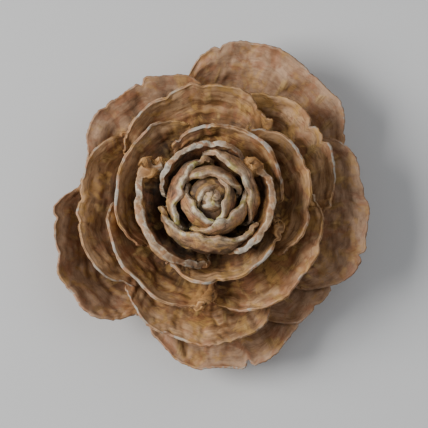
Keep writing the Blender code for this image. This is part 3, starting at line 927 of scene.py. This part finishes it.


# %% [markdown]
# ## Four woods from one
# The same wood serves the whole cone, with other values from ring to ring. The low scales lie open, so
# they are pinkish and bleached, with little painted shade. Those in the middle are warm with grey edges,
# the inner ones carry painted shade far out towards the margin, and the bud is pale and a little green.

# %% Make the woods
low_wood = scale_wood(
    "low_scale_wood", tones=PINKISH_TONES, pales=(ROSY, GREY, ROSY), deep=0.10, rim=0.30, broken=0.95,
    open_face=0.09, streak=0.26, cracked=0.22, base=0.13, golden=0.55, specked=(0.82, 1.16),
)
middle_wood = scale_wood(
    "middle_scale_wood", tones=WARM_TONES, pales=(GREY, GREY, ROSY), deep=0.40, rim=0.30, broken=1.0,
    open_face=0.13, streak=0.27, cracked=0.35, base=0.23, golden=0.85, specked=(0.86, 1.12),
)
inner_wood = scale_wood(
    "inner_scale_wood", tones=WARM_TONES, pales=(GREY, CREAM, ROSY), deep=0.78, rim=0.50, broken=0.6,
    open_face=0.10, streak=0.22, cracked=0.3, base=0.09, golden=0.5, specked=(0.70, 1.24),
)
bud_wood = scale_wood(
    "bud_scale_wood", tones=BUD_TONES, pales=(CREAM, CREAM, GREENISH), deep=0.60, rim=0.70, broken=0.7,
    open_face=0.14, streak=0.40, cracked=0.6, base=0.07, golden=0.7, specked=(0.52, 1.42),
)
print("materials made:", low_wood.name, middle_wood.name, inner_wood.name, bud_wood.name)

# %% [markdown]
# ## The scales
# They are made in six groups, from the wide low ones to the bud. They could be 28 objects, but one for
# each group keeps the list of pieces short, and each group has its wood.

# %% Build every scale
GROUPS = (
    ("lowest_scales", range(0, 3), low_wood),
    ("low_scales", range(3, 6), low_wood),
    ("spreading_scales", range(6, 11), middle_wood),
    ("cupped_scales", range(11, 16), middle_wood),
    ("inner_scales", range(16, 19), inner_wood),
    ("bud_scales", range(19, 28), bud_wood),
)
for name, places, wood in GROUPS:
    mesh_piece(name, [whole_shell(*scale_surface(scales[place])) for place in places], wood)

# %% [markdown]
# ## The tip of the bud
# In the very middle the last scales never opened. Only their blunt ends show, pressed into a small
# knob of three twisted lobes, on a low mound that fills the bud. Tiny scales could be modelled, but only
# lobes can be seen, so the tip is a profile carried round the axis, as the axis itself is below.

# %% Helper for turned pieces
def turned_shell(turn, radius, level, ends, girth, looks):
    """A closed shell from rings of points, at turns round the axis: quads between them, and a fan to a
    pole at each end. The grain is the way round at the girth, and the level."""
    rings, turns = radius.shape
    points = np.stack([radius * np.cos(turn), radius * np.sin(turn), level], axis=-1).reshape(-1, 3)
    points = np.concatenate([points, [(0.0, 0.0, end) for end in ends]])
    index = np.arange(rings * turns).reshape(rings, turns)
    first, last = index[0], index[-1]
    under = np.stack([np.roll(first, -1), first, np.full(turns, index.size)], axis=-1)
    over = np.stack([last, np.roll(last, -1), np.full(turns, index.size + 1)], axis=-1)
    looks = {"outer": 1.0, "crease": 0.0, "ridge": 0.0, "flake": 0.0, **looks}
    looks = {key: (value + 0.0 * radius).reshape(-1, 1) for key, value in looks.items()}
    looks["grain"] = np.stack([girth * turn + 0.0 * radius, level], axis=-1).reshape(-1, 2) / MM
    looks = {key: np.concatenate([value, value[:1], value[-1:]]) for key, value in looks.items()}
    return points, (round_quads(index), np.concatenate([under, over])), looks


# %% Build the tip
TIP_CLIMB = (0.0, 0.30, 0.42, 0.47, 0.56, 0.70, 0.84, 0.94, 1.0)
TIP_RADIUS = np.array((5.2, 4.4, 3.0, 2.1, 2.0, 1.9, 1.45, 0.75, 0.2)) * MM
TIP_LEVEL = np.array((27.0, 30.3, 31.0, 31.1, 31.4, 32.0, 32.6, 32.9, 32.95)) * MM
TIP_TURNS, TIP_RINGS, TIP_GIRTH = 72, 44, 1.9 * MM
KNOB_RISE = (0.47, 0.2)
LOBES, LOBE_DEPTH, LOBE_DROP, LOBE_TWIST, GROOVE_POWER = 3, 0.36, 0.6 * MM, 5.5, 6
MOUND_EDGE, KNOB_EDGE, MOUND_REACH, KNOB_REACH, TIP_TINT = 5.0, 0.4, 0.74, 1.0, 0.3


def tip_shell():
    """A profile of radius and height carried round. Twisted grooves part the knob above into lobes: the
    radius shrinks by the sixth power of the cosine of half the lobes' turn."""
    turn = np.linspace(0.0, math.tau, TIP_TURNS, endpoint=False)[None, :]
    climb = np.linspace(0.0, 1.0, TIP_RINGS)[:, None]
    knob = rise(climb, *KNOB_RISE)
    groove = np.abs(np.cos(LOBES / 2 * turn + LOBE_TWIST * climb)) ** GROOVE_POWER
    lobed = 1.0 - LOBE_DEPTH * knob * groove
    radius = np.interp(climb, TIP_CLIMB, TIP_RADIUS) * lobed
    level = np.interp(climb, TIP_CLIMB, TIP_LEVEL) - LOBE_DROP * (1.0 - lobed)
    looks = {
        "edge": MOUND_EDGE + (KNOB_EDGE - MOUND_EDGE) * knob,
        # The mound's lower reach gives it painted shade, and the knob at full reach has none
        "reach": MOUND_REACH + (KNOB_REACH - MOUND_REACH) * knob,
        "torn": 0.0,
        "tint": TIP_TINT,
    }
    return turned_shell(turn, radius, level, TIP_LEVEL[[0, -1]], TIP_GIRTH, looks)


mesh_piece("bud_tip", [tip_shell()], bud_wood)

# %% [markdown]
# ## The axis
# The axis is a short woody spindle. At the bottom the cone broke off its stalk, and left a flat, rough
# break. Above it small bosses mark where the fallen scales sat. A plain cylinder would look turned on a
# lathe, so the bosses and the roughness are in the profile that is carried round.

# %% Relief of the axis
SCARRED_HEIGHT, SCAR_COUNT = 5.0 * MM, 9
SCAR_DEPTH, SCAR_WIDTH, SCAR_TALLNESS = 0.5 * MM, 2.0 * MM, 0.55 * MM


def scar_relief(height, turn):
    """How far the scars of fallen scales stand out of the axis: small bosses, in the same spiral."""
    relief = np.zeros(np.broadcast(height, turn).shape)
    for k in range(1, SCAR_COUNT + 1):
        scar_height = SCARRED_HEIGHT * (1.0 - k / (SCAR_COUNT + 1))
        aside = (turn - FIRST_AZIMUTH + GOLDEN_TURN * k + math.pi) % math.tau - math.pi
        across = aside * AXIS_FOOT_RADIUS / SCAR_WIDTH
        up = (height - scar_height) / SCAR_TALLNESS
        relief = relief + SCAR_DEPTH * np.exp(-(across**4) - up * up)
    return relief


# %% Build the axis
AXIS_SEED, AXIS_TURNS, AXIS_RINGS = 900, 96, 120
FOOT_RINGS, FOOT_FROM, FOOT_TO, DOME_RINGS, DOME_RISE = 16, 0.06, 0.98, 6, 0.2
FOOT_ROUGH, BARK_ROUGH, BARK_WAVES = 0.18 * MM, 0.06 * MM, (5, 3.0 * MM, 0.8 * MM, 0.0)
BARK_ROUND = (5, 9, 16, 27)
# What its wood needs to know, on the broken foot and on the bark. The bark's low reach puts it in the
# darkest painted shade of the depth between the scales, and the foot's higher reach gives it less.
AXIS_LOOKS = (("edge", 0.6, 6.0), ("reach", 0.8, 0.4), ("torn", 0.6, 0.0), ("tint", 0.0, 0.0))


def axis_shell():
    """The closed axis: rings across the broken foot, up the side and over the rounded tip."""
    draw = np.random.default_rng((SEED, AXIS_SEED))
    turn = np.linspace(0.0, math.tau, AXIS_TURNS, endpoint=False)[None, :]
    height = np.linspace(0.0, AXIS_HEIGHT, AXIS_RINGS)[:, None]
    share = np.linspace(FOOT_FROM, FOOT_TO, FOOT_RINGS)[:, None]
    side = axis_radius(height) + scar_relief(height, turn)
    side = side + BARK_ROUGH * waves(draw, 0.0, height, *BARK_WAVES)
    side = side + BARK_ROUGH * sum(
        np.sin(around * turn + draw.uniform(0.0, math.tau)) / 2.0 for around in BARK_ROUND
    )
    splinter = np.sin(7 * turn + 9 * share) * np.sin(13 * turn - 5 * share)
    splinter = splinter + np.sin(23 * share + 2 * turn)
    foot_level = FOOT_ROUGH * (1.0 + 0.5 * splinter) * (1.0 - share**8)
    dome = np.linspace(0.0, math.pi / 2, DOME_RINGS + 2)[1:-1, None]
    top = AXIS_HEIGHT + np.sin(dome) * side[-1:] * DOME_RISE
    radius = np.concatenate([share * side[:1], side, np.cos(dome) * side[-1:]])
    level = np.concatenate([foot_level, height + 0.0 * turn, top])
    on_foot = np.arange(len(radius))[:, None] < FOOT_RINGS
    looks = {key: np.where(on_foot, foot, bark) for key, foot, bark in AXIS_LOOKS}
    ends = (FOOT_ROUGH, AXIS_HEIGHT + DOME_RISE * side[-1].mean())
    return turned_shell(turn, radius, level, ends, AXIS_FOOT_RADIUS, looks)


mesh_piece("axis", [axis_shell()], middle_wood)

# %% [markdown]
# ## The stage
# A plain pale surface, one large soft light from the left, and a weak one from the upper right, as in a
# simple product photograph. The camera looks down on the bud, a little from the front.

# %% Floor
FLOOR_HALF = 1.5
floor_mesh = bpy.data.meshes.new("floor")
floor_corners = [(x * FLOOR_HALF, y * FLOOR_HALF, 0.0) for x, y in ((-1, -1), (1, -1), (1, 1), (-1, 1))]
floor_mesh.from_pydata(floor_corners, [], [(0, 1, 2, 3)])
floor = new_object("floor", floor_mesh)
floor_material = bpy.data.materials.new("pale_floor")
floor_material.use_nodes = True
floor_shader = floor_material.node_tree.nodes["Principled BSDF"]
floor_shader.inputs["Base Color"].default_value = (0.60, 0.605, 0.61, 1.0)
floor_shader.inputs["Roughness"].default_value = 0.6
floor_mesh.materials.append(floor_material)
print("floor laid at height 0")

# %% Camera
CAMERA_ELEVATION = math.radians(82.0)
CAMERA_DISTANCE = 0.62
FRAME_WIDTH, SENSOR_WIDTH = 0.0875, 36.0
AIM = (0.0005, -0.0005, 0.012)
camera_data = bpy.data.cameras.new("camera")
camera_data.sensor_width = SENSOR_WIDTH
camera_data.lens = SENSOR_WIDTH * CAMERA_DISTANCE / FRAME_WIDTH
camera = new_object("camera", camera_data)
camera.location = (
    AIM[0],
    AIM[1] - CAMERA_DISTANCE * math.cos(CAMERA_ELEVATION),
    AIM[2] + CAMERA_DISTANCE * math.sin(CAMERA_ELEVATION),
)
camera.rotation_euler = (math.pi / 2 - CAMERA_ELEVATION, 0.0, 0.0)
bpy.context.scene.camera = camera
print("camera lens", round(camera_data.lens), "mm")

# %% Lights
WORLD_COLOUR, WORLD_STRENGTH = (0.9, 0.92, 0.95, 1.0), 0.30


def soft_light(name, place, size, watts, colour):
    """A square area light that points at the cone."""
    data = bpy.data.lights.new(name, "AREA")
    data.size, data.energy, data.color = size, watts, colour
    light = new_object(name, data)
    light.location = place
    to_cone = mathutils.Vector((0.0, 0.0, CONE_HEIGHT / 2)) - mathutils.Vector(place)
    light.rotation_euler = to_cone.to_track_quat("-Z", "Y").to_euler()


soft_light("key", (-0.64, 0.02, 0.55), size=0.45, watts=9.2, colour=(1.0, 0.985, 0.96))
soft_light("fill", (0.40, 0.20, 0.75), size=0.8, watts=1.9, colour=(0.96, 0.98, 1.0))
world = bpy.data.worlds.new("studio")
world.use_nodes = True
world.node_tree.nodes["Background"].inputs["Color"].default_value = WORLD_COLOUR
world.node_tree.nodes["Background"].inputs["Strength"].default_value = WORLD_STRENGTH
bpy.context.scene.world = world
print("lights set")
